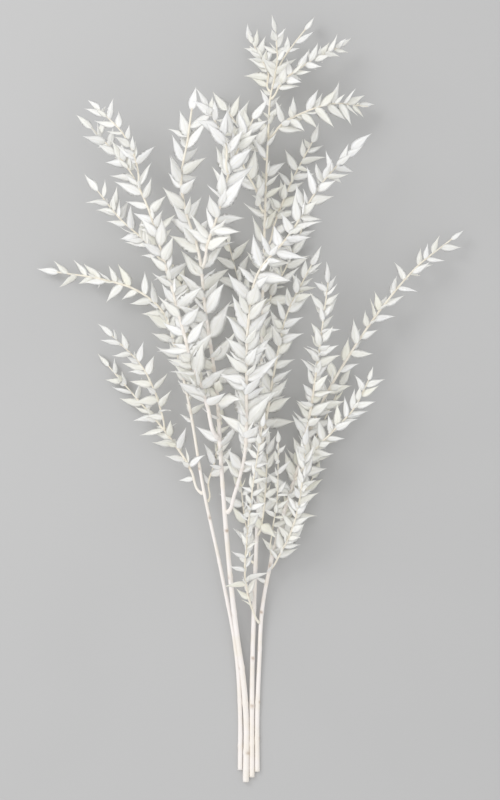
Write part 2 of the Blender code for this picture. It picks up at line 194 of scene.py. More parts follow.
# %% Curves along the axes
FINE_POINTS = 400
CANE_STEP = 31.0
SHOOT_STEP = 20.0
SHOOT_OUTWARD = 0.8
SHOOT_FORWARD = 0.6
SHOOT_COLLAR = 3.0
JOINT_GAP = 0.3
FEWEST_CHORDS = 3
DIRECTION_REACH = 2


def unit(vector):
    """The vector, or each row of an array of them, at length one."""
    vector = np.asarray(vector, float)
    return vector / np.linalg.norm(vector, axis=-1, keepdims=True)


def smooth_route(points):
    """Hermite cubic through the points, slope at each from its neighbours, resampled evenly by length."""
    points = np.array(points, float)
    knots = np.concatenate([[0], np.cumsum(np.linalg.norm(np.diff(points, axis=0), axis=1))])
    slopes = np.gradient(points, knots, axis=0)
    along = np.linspace(0, knots[-1], FINE_POINTS)
    left = np.clip(np.searchsorted(knots, along, side="right") - 1, 0, len(knots) - 2)
    span = (knots[left + 1] - knots[left])[:, None]
    way = (along - knots[left])[:, None] / span
    curve = (
        (2 * way**3 - 3 * way**2 + 1) * points[left]
        + (way**3 - 2 * way**2 + way) * span * slopes[left]
        + (3 * way**2 - 2 * way**3) * points[left + 1]
        + (way**3 - way**2) * span * slopes[left + 1]
    )
    walked = np.concatenate([[0], np.cumsum(np.linalg.norm(np.diff(curve, axis=0), axis=1))])
    even = np.linspace(0, walked[-1], FINE_POINTS)
    return np.stack([np.interp(even, walked, column) for column in curve.T], axis=1)


def route_length(route):
    """The sum of the straight steps between a route's points."""
    return float(np.linalg.norm(np.diff(route, axis=0), axis=1).sum())


def at_share(route, share):
    """Points and directions at one share or an array of shares of a route's length."""
    index = np.rint(np.asarray(share) * (FINE_POINTS - 1)).astype(int)
    before = np.maximum(index - DIRECTION_REACH, 0)
    after = np.minimum(index + DIRECTION_REACH, FINE_POINTS - 1)
    return route[index], unit(route[after] - route[before])


def radius_at(axis, share):
    """A straight taper: the base's radius + (the tip's - the base's) * share."""
    base, tip = axis.radius
    return base + (tip - base) * share


def chorded(axis, route):
    """The straight chords that the solid's coarse tube follows between its rings."""
    length = route_length(route)
    step = CANE_STEP if axis.bearer is None else SHOOT_STEP
    shares = np.linspace(0, 1, max(FEWEST_CHORDS, round(length / step)) + 1)
    if axis.bearer is not None:
        shares = np.insert(shares, 1, SHOOT_COLLAR / length)
    rings = route[np.round(shares * (FINE_POINTS - 1)).astype(int)]
    fine = np.linspace(0, 1, FINE_POINTS)
    return np.stack([np.interp(fine, shares, column) for column in rings.T], axis=1)


def route_of(axis):
    """A cane's route as given, or a shoot's from its bearer's surface outwards."""
    if axis.bearer is None:
        return smooth_route(axis.route)
    bearer, bearer_route = routes[axis.bearer]
    index = int(np.abs(bearer_route[:, 1] - axis.leaves_at).argmin())
    share = index / (FINE_POINTS - 1)
    point, forward = at_share(chorded(bearer, bearer_route), share)
    outward = np.array(axis.route[0], float) - point
    outward = unit(outward - forward * (outward @ forward))
    heading = SHOOT_OUTWARD * outward + SHOOT_FORWARD * forward
    reach = radius_at(bearer, share) + JOINT_GAP + SHOOT_FORWARD * axis.radius[0]
    start = point + outward * reach
    return smooth_route([start, start + heading * SHOOT_COLLAR, *axis.route])


routes = {}
for axis in AXES:
    routes[axis.name] = (axis, route_of(axis))
print("longest axis:", round(max(route_length(route) for _, route in routes.values())), "mm")

# %% [markdown]
# ## Which way each leaf turned
# The solids were made by trying each leaf at a few turns and sizes until it was clear of the others. The
# choice shows in the solid itself: the leaf's tip is one of its corners. Looking for that corner finds the
# choice again, so each fine leaf lies exactly where its solid does.

# %% Leaf by leaf
SEED = 7
SEED_STEP = 100
DRAWS = 7
LEAF_ANGLE = 56.0
TIP_ANGLE = 36.0
ANGLE_SWING = 20.0
TWIST_SWING = 48.0
LENGTH_SWING = 0.20
BEND_SWING = 0.19
SICKLE_SWING = 0.14
FIRST_PLACE = 0.3
PLACE_SWING = 0.2
LEAFY_END = 0.995
HIGHEST_SIDE_LEAF = 0.99
END_LEAF_PLACE = 0.997
END_LEAF_SWING = 8.0
ROLL_LIFT = 8.0
BEND_DROOP = -0.03
TURNS = (0, 18, -18, 36, -36, 58, -58, 85)
SHRINKS = (1.0, 0.86, 0.7)
TIP_TOLERANCE = 0.05


def leaf_growth(axis, route, index):
    """Where each leaf grows and how it lies, as arrays with a row for each leaf.

    share = bare + (leafy end - bare) * (number + first place + a draw) / (leaves - 1/2), and the last leaf
    of an axis ends it, pointing nearly straight on.
    """
    draws = np.random.default_rng(SEED * SEED_STEP + index).uniform(-1, 1, (axis.leaves, DRAWS))
    number = np.arange(axis.leaves)
    step = number + FIRST_PLACE + PLACE_SWING * draws[:, 0]
    share = axis.bare + (LEAFY_END - axis.bare) * step / (axis.leaves - 0.5)
    last = number == axis.leaves - 1
    place = np.where(last, END_LEAF_PLACE, np.minimum(share, HIGHEST_SIDE_LEAF))
    root, forward = at_share(chorded(axis, route), place)
    left = unit(np.cross((0, 0, 1), forward))
    climb = (share - axis.bare) / (1 - axis.bare)
    leaning = LEAF_ANGLE + (TIP_ANGLE - LEAF_ANGLE) * climb + ANGLE_SWING * draws[:, 1]
    low, high = axis.leaf_length
    return {
        "share": place,
        "root": root,
        "forward": forward,
        "left": left * np.where(number % 2 == 1, 1, -1)[:, None],
        "upward": np.cross(forward, left),
        "angle": np.where(last, END_LEAF_SWING * draws[:, 1], leaning),
        "roll": axis.spread * draws[:, 2] + ROLL_LIFT,
        "twist": TWIST_SWING * draws[:, 3],
        "length": (low + (high - low) * climb) * (1 + LENGTH_SWING * draws[:, 4]),
        "bend": BEND_DROOP + BEND_SWING * draws[:, 5],
        "sickle": SICKLE_SWING * draws[:, 6],
    }


def leaf_directions(growth, turn):
    """Ahead along the leaf, across it and out of its face, for a turn about the twig in degrees.

    ahead = cos(angle) * forward + sin(angle) * sideways, where sideways = cos(roll) * left + sin(roll) * up.
    The face looks as far up as it can, before the leaf's twist turns it about ahead.
    """
    roll = np.radians(growth["roll"] + turn)[:, None]
    angle = np.radians(growth["angle"])[:, None]
    sideways = np.cos(roll) * growth["left"] + np.sin(roll) * growth["upward"]
    ahead = unit(np.cos(angle) * growth["forward"] + np.sin(angle) * sideways)
    face = unit(np.array((0, 0, 1)) - ahead * ahead[:, 2:])
    across = np.cross(face, ahead)
    twist = np.radians(growth["twist"])[:, None]
    return (ahead,
            np.cos(twist) * across - np.sin(twist) * face,
            np.cos(twist) * face + np.sin(twist) * across)


def settle_leaves(axis, growth):
    """The turn and the shrink that each leaf has in its solid, and whether it was found there."""
    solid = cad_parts[axis.name].data
    corners = np.empty(len(solid.vertices) * 3)
    solid.vertices.foreach_get("co", corners)
    corners = corners.reshape(-1, 3) / MM + MIDDLE
    turn, shrink = np.zeros(axis.leaves), np.ones(axis.leaves)
    found = np.zeros(axis.leaves, bool)
    for size in SHRINKS:
        for degrees in TURNS:
            ahead, across, face = leaf_directions(growth, degrees)
            drift = across * growth["sickle"][:, None] + face * growth["bend"][:, None]
            tips = growth["root"] + (growth["length"] * size)[:, None] * (ahead + drift)
            near = np.linalg.norm(tips[:, None] - corners[None], axis=2).min(axis=1) < TIP_TOLERANCE
            fresh = near & ~found
            turn[fresh], shrink[fresh] = degrees, size
            found |= near
    return turn, shrink, found


settled = {}
for index, axis in enumerate(AXES):
    growth = leaf_growth(axis, routes[axis.name][1], index)
    settled[axis.name] = (growth, *settle_leaves(axis, growth))
found_count = sum(int(found.sum()) for _, _, _, found in settled.values())
print("leaves found in the solids:", found_count, "of", sum(axis.leaves for axis in AXES))

# %% [markdown]
# ## Smaller leaves between
# The solids hold as many leaves as they can afford. The real shoots also carry small ones between those,
# at nearly every turn about the twig and a little lower on each axis. They are drawn the same way, and one
# that would come too near the table, or a leaf that is already there, is left out.

# %% Small leaves
LEAF_WIDTH_SHARE = 0.38
SMALL_SEED = 3000
SMALL_SHARE = 1.5
SMALL_SIZE = 0.74
SMALL_LENGTH_SWING = 0.25
SMALL_BELOW = 0.10
SMALL_LOWEST = 0.08
SMALL_HIGHEST = 0.97
SMALL_PLACE_SWING = 0.4
SMALL_ANGLE = 50.0
SMALL_ANGLE_SWING = 24.0
SMALL_ROLL = 85.0
SMALL_TWIST = 75.0
SMALL_ROOM = 3.3
LOWEST_LEAF = 1.5
SAMPLE_SHARES = (0.3, 0.5, 0.7, 0.9)
SAMPLE_EDGE = 0.3


def small_growth(axis, route, index):
    """The small leaves of an axis, in the same form as leaf_growth gives.

    share = lowest + (highest - lowest) * (number + 1/2 + a draw) / count, and the rest are draws too.
    """
    count = int(axis.leaves * SMALL_SHARE)
    draws = np.random.default_rng(SMALL_SEED + index).uniform(-1, 1, (count, DRAWS))
    number = np.arange(count)
    lowest = max(axis.bare - SMALL_BELOW, SMALL_LOWEST)
    share = lowest + (SMALL_HIGHEST - lowest) * (number + 0.5 + SMALL_PLACE_SWING * draws[:, 0]) / count
    root, forward = at_share(chorded(axis, route), share)
    left = unit(np.cross((0, 0, 1), forward))
    low, high = axis.leaf_length
    return {
        "share": share,
        "root": root,
        "forward": forward,
        "left": left * np.where(number % 2 == 0, 1, -1)[:, None],
        "upward": np.cross(forward, left),
        "angle": SMALL_ANGLE + SMALL_ANGLE_SWING * draws[:, 1],
        "roll": SMALL_ROLL * draws[:, 2],
        "twist": SMALL_TWIST * draws[:, 3],
        "length": (low + (high - low) * share) * SMALL_SIZE * (1 + SMALL_LENGTH_SWING * draws[:, 4]),
        "bend": BEND_SWING * draws[:, 5],
        "sickle": SICKLE_SWING * draws[:, 6],
    }


def leaf_samples(growth, turn, shrink):
    """Points on each leaf: down its middle at a few shares, and one towards each edge."""
    ahead, across, face = leaf_directions(growth, turn)
    length = (growth["length"] * shrink)[:, None]
    drift = across * growth["sickle"][:, None] + face * growth["bend"][:, None]
    points = [growth["root"] + length * (ahead * share + drift * share**2) for share in SAMPLE_SHARES]
    edge = across * length * LEAF_WIDTH_SHARE * SAMPLE_EDGE
    return np.stack([*points, points[0] + edge, points[0] - edge], axis=1)


occupied = np.concatenate([
    leaf_samples(growth, turn, shrink)[found].reshape(-1, 3)
    for growth, turn, shrink, found in settled.values()])
small_count = 0
for index, axis in enumerate(AXES):
    small = small_growth(axis, routes[axis.name][1], index)
    clear = np.zeros(len(small["share"]), bool)
    for number, points in enumerate(leaf_samples(small, 0, 1)):
        nearest = np.linalg.norm(points[:, None] - occupied[None], axis=2).min()
        if nearest > SMALL_ROOM and points[:, 2].min() > LOWEST_LEAF:
            clear[number] = True
            occupied = np.concatenate([occupied, points])
    growth, turn, shrink, found = settled[axis.name]
    settled[axis.name] = (
        {key: np.concatenate([growth[key], small[key]]) for key in growth},
        np.concatenate([turn, np.zeros(len(clear))]),
        np.concatenate([shrink, np.ones(len(clear))]),
        np.concatenate([found, clear]))
    small_count += int(clear.sum())
print("small leaves between:", small_count)

# %% [markdown]
# ## A skin over rings
# Leaves and stems are both a closed loop carried along a path, with a pole at each end. One function
# joins the loops, so that every surface is closed and its faces point outwards.

# %% From loops to a mesh
def skin(loops, start, end):
    """Vertices and faces of closed loops (pieces, stations, around, 3) with a pole before and after.

    Loops run clockwise seen from the path's far end, so each face takes one step along, then one around.
    """
    pieces, stations, around, _ = loops.shape
    vertices = np.concatenate([start[:, None], loops.reshape(pieces, -1, 3), end[:, None]], axis=1)
    ring = np.arange(around)
    following = (ring + 1) % around
    base = 1 + np.arange(stations - 1)[:, None] * around
    ahead = base + around
    sides = np.stack([base + ring, ahead + ring, ahead + following, base + following], axis=-1)
    final = 1 + (stations - 1) * around
    first_fan = np.stack([np.zeros_like(ring), 1 + ring, 1 + following], axis=-1)
    last_fan = np.stack([final + ring, np.full_like(ring, final + around), final + following], axis=-1)
    offset = np.arange(pieces)[:, None, None] * vertices.shape[1]
    faces = []
    for part in (sides.reshape(-1, 4), first_fan, last_fan):
        faces.extend((part[None] + offset).reshape(-1, part.shape[1]).tolist())
    return vertices.reshape(-1, 3), faces


def with_poles(grid, shape, first, final):
    """A value for each vertex of a skin: first, then the grid stretched to the loops' shape, then final."""
    pieces = shape[0]
    loops = np.broadcast_to(grid, shape).reshape(pieces, -1)
    return np.concatenate([np.full((pieces, 1), first), loops, np.full((pieces, 1), final)], axis=1)


def make_piece(name, vertices, faces, material, **attributes):
    """A piece in the row frame, with one float for each vertex under each attribute's name."""
    mesh = bpy.data.meshes.new(name)
    mesh.from_pydata(((vertices - MIDDLE) * MM).tolist(), [], faces)
    for label, values in attributes.items():
        layer = mesh.attributes.new(label, "FLOAT", "POINT")
        layer.data.foreach_set("value", np.ascontiguousarray(values, dtype=np.float32).ravel())
    mesh.polygons.foreach_set("use_smooth", np.ones(len(mesh.polygons), bool))
    mesh.materials.append(material)
    mesh.update()
    piece = bpy.data.objects.new(name, mesh)
    bpy.context.scene.collection.objects.link(piece)
    return piece


_, sample_faces = skin(np.zeros((1, 2, 4, 3)), np.zeros((1, 3)), np.zeros((1, 3)))
print("two square loops and their poles make", len(sample_faces), "faces")

# %% [markdown]
# ## Shared effects
# Both finishes are dry plant fibre, so both need fine lines that follow the piece and a faint mottle that
# doesn't. Each effect is a node group with its own inputs, placed in each material with its own values.

# %% Node groups
NOISE_DETAIL = 2.0
MOTTLE_PARTS = (("Patches", "Patch scale", 0.42, 0.68), ("Specks", "Speck scale", 0.70, 0.78))


def new_group(name, inputs, outputs):
    """An empty node group with number sockets, and the nodes that hold its inputs and outputs."""
    group = bpy.data.node_groups.new(name, "ShaderNodeTree")
    for label, default in inputs:
        socket = group.interface.new_socket(label, in_out="INPUT", socket_type="NodeSocketFloat")
        socket.default_value = default
    for label in outputs:
        group.interface.new_socket(label, in_out="OUTPUT", socket_type="NodeSocketFloat")
    return group, group.nodes.new("NodeGroupInput"), group.nodes.new("NodeGroupOutput")


def feed(tree, socket, value):
    """Links a socket to another, or sets a plain number on it."""
    if isinstance(value, bpy.types.NodeSocket):
        tree.links.new(value, socket)
    else:
        socket.default_value = value


def calculate(tree, operation, first, second=0.0):
    """The first value, the operation and the second value, as one Math node."""
    node = tree.nodes.new("ShaderNodeMath")
    node.operation = operation
    feed(tree, node.inputs[0], first)
    feed(tree, node.inputs[1], second)
    return node.outputs[0]


def remap(tree, value, low, high):
    """0 below low, 1 above high, and smooth between."""
    node = tree.nodes.new("ShaderNodeMapRange")
    node.interpolation_type = "SMOOTHSTEP"
    feed(tree, node.inputs["Value"], value)
    node.inputs["From Min"].default_value = low
    node.inputs["From Max"].default_value = high
    return node.outputs["Result"]


def make_fibre_lines():
    """Noise that is fine across the piece and long along it: value = noise(across * lines, along * run)."""
    group, given, result = new_group(
        "fibre_lines", [("Across", 0.0), ("Along", 0.0), ("Lines", 10.0), ("Run", 1.0)], ["Lines"])
    place = group.nodes.new("ShaderNodeCombineXYZ")
    for socket, way, scale in (("X", "Across", "Lines"), ("Y", "Along", "Run")):
        stretched = calculate(group, "MULTIPLY", given.outputs[way], given.outputs[scale])
        group.links.new(stretched, place.inputs[socket])
    noise = group.nodes.new("ShaderNodeTexNoise")
    noise.inputs["Scale"].default_value = 1.0
    noise.inputs["Detail"].default_value = NOISE_DETAIL
    group.links.new(place.outputs[0], noise.inputs["Vector"])
    group.links.new(noise.outputs[0], result.inputs["Lines"])
    return group


def make_dry_mottle():
    """Soft patches and small specks in space: patches from one noise, specks from the peaks of another."""
    group, given, result = new_group(
        "dry_mottle", [("Patch scale", 60.0), ("Speck scale", 900.0)], ["Patches", "Specks"])
    place = group.nodes.new("ShaderNodeTexCoord")
    for label, scale, low, high in MOTTLE_PARTS:
        noise = group.nodes.new("ShaderNodeTexNoise")
        noise.inputs["Detail"].default_value = NOISE_DETAIL
        group.links.new(place.outputs["Object"], noise.inputs["Vector"])
        group.links.new(given.outputs[scale], noise.inputs["Scale"])
        group.links.new(remap(group, noise.outputs[0], low, high), result.inputs[label])
    return group


FIBRE_LINES = make_fibre_lines()
DRY_MOTTLE = make_dry_mottle()
print("node groups:", FIBRE_LINES.name, DRY_MOTTLE.name)

# %% [markdown]
# ## The two finishes
# Bleached leaves are nearly white and papery, cream by chance where the bleach left some colour, with faint
# veins from base to tip. Leaves that lie low in the bunch, under the others, get more cream too: that is
# painted shade.
# Light shows through the leaves, which shallow subsurface scattering gives. Its radius is nearly the same in
# each colour, because an uneven one would tinge every edge. Bleached wood is warmer, with grain along it,
# brown scars at its bare nodes, a faint stain under each leaf and a cut end. The pattern's place comes from
# attributes on each mesh, so the veins follow each leaf.

# %% Materials
LEAF_WHITE = (0.95, 0.95, 0.945)
LEAF_CREAM = (0.91, 0.88, 0.71)
LEAF_PATCH = (0.88, 0.86, 0.76)
LEAF_VEIN = (0.83, 0.82, 0.74)
LEAF_MIDRIB = (0.82, 0.79, 0.66)
LEAF_SPECK = (0.62, 0.50, 0.32)
MIDRIB_WIDTH = 0.14
VEIN_RANGE = (0.45, 0.70)
VEIN_HEIGHT = 0.0003
OLD_WOOD = ((0.93, 0.89, 0.87), (0.86, 0.79, 0.73))
YOUNG_WOOD = ((0.92, 0.88, 0.78), (0.85, 0.78, 0.60))
WOOD_PATCH = (0.82, 0.74, 0.58)
WOOD_SPECK = (0.50, 0.36, 0.22)
SCAR_BROWN = (0.36, 0.23, 0.13)
CUT_END = (0.80, 0.70, 0.50)
GRAIN_RANGE = (0.35, 0.70)
GRAIN_HEIGHT = 0.0004
BUMP_STRENGTH = 0.6


def place_group(tree, group, **values):
    """A node that places the group with these inputs. An underscore stands for a space in a name."""
    node = tree.nodes.new("ShaderNodeGroup")
    node.node_tree = group
    for label, value in values.items():
        feed(tree, node.inputs[label.replace("_", " ")], value)
    return node


def read_attribute(tree, name):
    """The number that the mesh holds under a name."""
    node = tree.nodes.new("ShaderNodeAttribute")
    node.attribute_name = name
    return node.outputs["Fac"]


def mix_colour(tree, amount, first, second):
    """first + (second - first) * amount."""
    node = tree.nodes.new("ShaderNodeMix")
    node.data_type = "RGBA"
    feed(tree, node.inputs[0], amount)
    for socket, colour in ((node.inputs[6], first), (node.inputs[7], second)):
        feed(tree, socket, colour if isinstance(colour, bpy.types.NodeSocket) else (*colour, 1.0))
    return node.outputs[2]


def lay_over(tree, colour, layer, mask, amount):
    """colour + (layer - colour) * mask * amount."""
    return mix_colour(tree, calculate(tree, "MULTIPLY", mask, amount), colour, layer)


def raise_surface(tree, height, distance, shader):
    """Tilts the shader's normals as if the surface stood height * distance higher."""
    bump = tree.nodes.new("ShaderNodeBump")
    bump.inputs["Distance"].default_value = distance
    bump.inputs["Strength"].default_value = BUMP_STRENGTH
    tree.links.new(height, bump.inputs["Height"])
    tree.links.new(bump.outputs["Normal"], shader.inputs["Normal"])


def start_material(name):
    """A new material, its node tree and its shader."""
    material = bpy.data.materials.new(name)
    material.use_nodes = True
    return material, material.node_tree, material.node_tree.nodes["Principled BSDF"]


def make_leaf_finish():
    """White, with cream (partly a painted shade on low leaves), patches, veins, a midrib and specks laid
    over it in that order.
    """
    material, tree, shader = start_material("bleached_leaf_finish")
    across, along = read_attribute(tree, "across"), read_attribute(tree, "along")
    veins = place_group(tree, FIBRE_LINES, Across=across, Along=along, Lines=9.0, Run=1.2).outputs["Lines"]
    off_middle = remap(tree, calculate(tree, "ABSOLUTE", across), 0.0, MIDRIB_WIDTH)
    midrib = calculate(tree, "SUBTRACT", 1.0, off_middle)
    mottle = place_group(tree, DRY_MOTTLE, Patch_scale=70.0, Speck_scale=800.0)
    # The cream mask is partly the leaf's own colour by chance and partly a painted shade on leaves low in
    # the bunch.
    colour = lay_over(tree, LEAF_WHITE, LEAF_CREAM, read_attribute(tree, "tint"), amount=0.95)
    colour = lay_over(tree, colour, LEAF_PATCH, mottle.outputs["Patches"], amount=0.16)
    colour = lay_over(tree, colour, LEAF_VEIN, remap(tree, veins, *VEIN_RANGE), amount=0.38)
    colour = lay_over(tree, colour, LEAF_MIDRIB, midrib, amount=0.42)
    colour = lay_over(tree, colour, LEAF_SPECK, mottle.outputs["Specks"], amount=0.45)
    tree.links.new(colour, shader.inputs["Base Color"])
    shader.inputs["Roughness"].default_value = 0.62
    shader.inputs["Specular IOR Level"].default_value = 0.35
    shader.inputs["Subsurface Weight"].default_value = 0.85
    shader.inputs["Subsurface Radius"].default_value = (1.0, 0.98, 0.95)
    shader.inputs["Subsurface Scale"].default_value = 0.0012
    raise_surface(tree, calculate(tree, "ADD", veins, midrib), VEIN_HEIGHT, shader)
    return material


def make_wood_finish():
    """Grained old wood that gives way to young wood, with patches, specks, scars and the cut over it."""
    material, tree, shader = start_material("bleached_wood_finish")
    around, run = read_attribute(tree, "around"), read_attribute(tree, "run")
    grain = place_group(tree, FIBRE_LINES, Across=around, Along=run, Lines=14.0, Run=0.06).outputs["Lines"]
    mottle = place_group(tree, DRY_MOTTLE, Patch_scale=45.0, Speck_scale=600.0)
    dark_grain = remap(tree, grain, *GRAIN_RANGE)
    old_wood = mix_colour(tree, dark_grain, *OLD_WOOD)
    young_wood = mix_colour(tree, dark_grain, *YOUNG_WOOD)
    colour = mix_colour(tree, read_attribute(tree, "young"), old_wood, young_wood)
    colour = lay_over(tree, colour, WOOD_PATCH, mottle.outputs["Patches"], amount=0.35)
    colour = lay_over(tree, colour, WOOD_SPECK, mottle.outputs["Specks"], amount=0.6)
    colour = mix_colour(tree, read_attribute(tree, "scar"), colour, SCAR_BROWN)
    colour = mix_colour(tree, read_attribute(tree, "cut"), colour, CUT_END)
    tree.links.new(colour, shader.inputs["Base Color"])
    shader.inputs["Roughness"].default_value = 0.58
    raise_surface(tree, grain, GRAIN_HEIGHT, shader)
    return material


leaf_finish = make_leaf_finish()
wood_finish = make_wood_finish()
print("finishes:", leaf_finish.name, wood_finish.name)

# %% [markdown]
# ## The stems
# A cane is a tapering tube that swells a little at each node, where a leaf or a scale once grew. A shoot
# flares where it joins its bearer. Both are a circle carried along the route, with the radius changed by
# a sum of small bumps. The scars and the stains lie where the bumps do.

# %% Stems
STEM_SIDES = 12
AROUND = -2 * np.pi * np.arange(STEM_SIDES) / STEM_SIDES
STEM_SEED = 9000
STATION_STEP = 3.0
FEWEST_STATIONS = 12
NODE_SPACING = 58.0
FIRST_NODE = 0.6
NODE_JITTER = 9.0
NODE_WIDTH = 2.6
NODE_SWELL = 0.13
LEAF_NODE_WIDTH = 1.6
LEAF_NODE_SWELL = 0.12
LEAF_NODE_STAIN = 0.2
COLLAR_LENGTH = 2.2
COLLAR_SWELL = 0.55
WAVE_STRETCH = 17.0
WAVE_HEIGHT = 0.02
ROOT_DEPTH = 1.5
SCAR_REACH = 1.7
DARKEST_SCAR = 0.85
YOUNG_BELOW = 2.1
YOUNG_BLEND = 0.9


def bumps(run, places, width):
    """For each station and place, exp(-((run - place) / width)**2)."""
    return np.exp(-(((run[:, None] - places[None]) / width) ** 2))


def stem_skin(axis, centre, radius):
    """The skin of point = centre + radius * (cos(angle) * left + sin(angle) * up), kept above the table."""
    forward = unit(np.gradient(centre, axis=0))
    left = unit(np.cross((0, 0, 1), forward))
    up = np.cross(forward, left)
    circle = np.cos(AROUND)[None, :, None] * left[:, None] + np.sin(AROUND)[None, :, None] * up[:, None]
    loops = centre[:, None] + radius[:, None, None] * circle
    loops[..., 2] = np.maximum(loops[..., 2], 0.0)
    if axis.bearer is None:
        start = loops[0].mean(axis=0)
    else:
        start = centre[0] - forward[0] * (axis.radius[0] + ROOT_DEPTH)
    end = centre[-1] + forward[-1] * radius[-1]
    return skin(loops[None], start[None], end[None])


def stem_piece(axis, route, leaf_shares, index):
    """radius = taper * (1 + bumps at the nodes and leaves + a collar at a shoot's base + a slow wave)."""
    rng = np.random.default_rng(STEM_SEED + index)
    length = route_length(route)
    shares = np.linspace(0, 1, max(FEWEST_STATIONS, int(length / STATION_STEP)))
    fine = np.linspace(0, 1, FINE_POINTS)
    centre = np.stack([np.interp(shares, fine, column) for column in route.T], axis=1)
    run = shares * length
    bare_nodes = np.arange(NODE_SPACING * FIRST_NODE, axis.bare * length, NODE_SPACING)
    bare_nodes = bare_nodes + rng.uniform(-NODE_JITTER, NODE_JITTER, len(bare_nodes))
    leaf_bumps = np.minimum(bumps(run, leaf_shares * length, LEAF_NODE_WIDTH).sum(axis=1), 1)
    swell = NODE_SWELL * bumps(run, bare_nodes, NODE_WIDTH).sum(axis=1) + LEAF_NODE_SWELL * leaf_bumps
    if axis.bearer is not None:
        swell = swell + COLLAR_SWELL * np.exp(-run / COLLAR_LENGTH)
    taper = radius_at(axis, shares)
    radius = taper * (1 + swell + WAVE_HEIGHT * np.sin(run / WAVE_STRETCH + index))
    vertices, faces = stem_skin(axis, centre, radius)

    phase = rng.uniform(0, 2 * np.pi, len(bare_nodes))
    facing = np.clip(np.cos(AROUND[None, :, None] - phase[None, None]), 0, 1) ** 2
    scar = (bumps(run, bare_nodes, SCAR_REACH)[:, None, :] * facing).sum(axis=2)
    scar = scar + LEAF_NODE_STAIN * leaf_bumps[:, None]
    young = np.clip((YOUNG_BELOW - taper) / YOUNG_BLEND, 0, 1)
    shape = (1, len(run), STEM_SIDES)
    return make_piece(
        axis.name + "_stem", vertices, faces, wood_finish,
        around=with_poles(np.cos(AROUND), shape, 0, 0),
        run=with_poles(run[:, None], shape, 0, length),
        scar=with_poles(np.clip(scar, 0, DARKEST_SCAR), shape, 0, 0),
        young=with_poles(young[:, None], shape, young[0], young[-1]),
        cut=with_poles(0.0, shape, 1.0 if axis.bearer is None else 0.0, 0))


# %% [markdown]
# ## The leaves
# A ruscus leaf is widest below its middle and draws out to a fine point. Its outline is the product of a
# rise from the base and a fall to the tip. The blade is folded a little along its midrib, twists along its
# length and curls at the tip. About a thousand are needed, so each has only a few dozen faces.

# %% Leaves
STATIONS = np.array((0.03, 0.10, 0.20, 0.33, 0.47, 0.62, 0.77, 0.90))
LOOP_ACROSS = np.array((-1, -0.5, 0, 0.5, 1, 0.5, 0, -0.5))
LOOP_SIDE = np.array((0, 1, 1, 1, 0, -1, -1, -1))
LEAF_SEED = 5000
TRAITS = ("curl", "twirl", "breadth", "fold", "cream", "hook", "phase")
HALF_THICKNESS = 0.2
PETIOLE_HALF_WIDTH = 0.4
LOWEST_VERTEX = 0.05
OUTLINE_RISE = 0.8
OUTLINE_FALL = 1.85
LEAST_BREADTH = 0.94
BREADTH_RANGE = 0.16
LEAST_FOLD = 0.06
FOLD_RANGE = 0.26
FOLD_POWER = 1.4
TIP_CURL = 0.16
TIP_HOOK = 0.12
TIP_TWIRL = 0.5
EDGE_WAVE = 0.14
# Leaves below this height get more cream as a painted shade; the cream by chance is the leaf's own.
SHADED_BELOW = 90.0
CREAM_BY_CHANCE = 0.6
PAINTED_SHADE_BY_DEPTH = 0.85
PATTERN_SHIFT = 7.0


def outline(share):
    """share**rise * (1 - share)**fall, scaled so that its widest is 1, at rise / (rise + fall)."""
    widest = OUTLINE_RISE / (OUTLINE_RISE + OUTLINE_FALL)
    peak = widest**OUTLINE_RISE * (1 - widest) ** OUTLINE_FALL
    return share**OUTLINE_RISE * (1 - share) ** OUTLINE_FALL / peak


def leaf_skin(root, length, directions, sickle, bend, traits):
    """The skin of point = midline + across * width * place + face * lift, place being -1 to 1 across.

    midline = root + length * (ahead * share + drift * share**2 + curl * share**5), the width is half the
    blade's, the twirl turns across and face about ahead, and lift = wave - fold * width * |place|**power +
    side * half thickness. wave = edge wave * width * place * |place| * sin(2 pi (share + phase)).
    """
    ahead, across, face = directions
    drift = across * sickle[:, None] + face * bend[:, None]
    curl = (face * (TIP_CURL * (traits["curl"] - 0.5))[:, None]
            + across * (TIP_HOOK * (traits["hook"] - 0.5))[:, None])

    def midline(share):
        way = ahead[:, None] * share + drift[:, None] * share**2 + curl[:, None] * share**5
        return root[:, None] + length[:, None, None] * way

    share = STATIONS[None, :, None]
    twirl = (TIP_TWIRL * (traits["twirl"] - 0.5))[:, None, None] * share
    turned_across = (np.cos(twirl) * across[:, None] - np.sin(twirl) * face[:, None])[:, :, None]
    turned_face = (np.cos(twirl) * face[:, None] + np.sin(twirl) * across[:, None])[:, :, None]
    widest = length * (LEAF_WIDTH_SHARE * (LEAST_BREADTH + BREADTH_RANGE * traits["breadth"])) / 2
    width = np.maximum(widest[:, None] * outline(STATIONS), PETIOLE_HALF_WIDTH)[:, :, None, None]
    fold = (LEAST_FOLD + FOLD_RANGE * traits["fold"])[:, None, None, None]
    place = LOOP_ACROSS[None, None, :, None]
    side = LOOP_SIDE[None, None, :, None]
    phase = 2 * np.pi * (share + traits["phase"][:, None, None])[:, :, None]
    wave = EDGE_WAVE * width * np.sin(phase) * place * np.abs(place)
    lift = wave - fold * width * np.abs(place) ** FOLD_POWER + side * HALF_THICKNESS
    loops = midline(share)[:, :, None] + turned_across * width * place + turned_face * lift
    vertices, faces = skin(loops, root, midline(np.ones((1, 1, 1)))[:, 0])
    vertices[:, 2] = np.maximum(vertices[:, 2], LOWEST_VERTEX)
    return vertices, faces


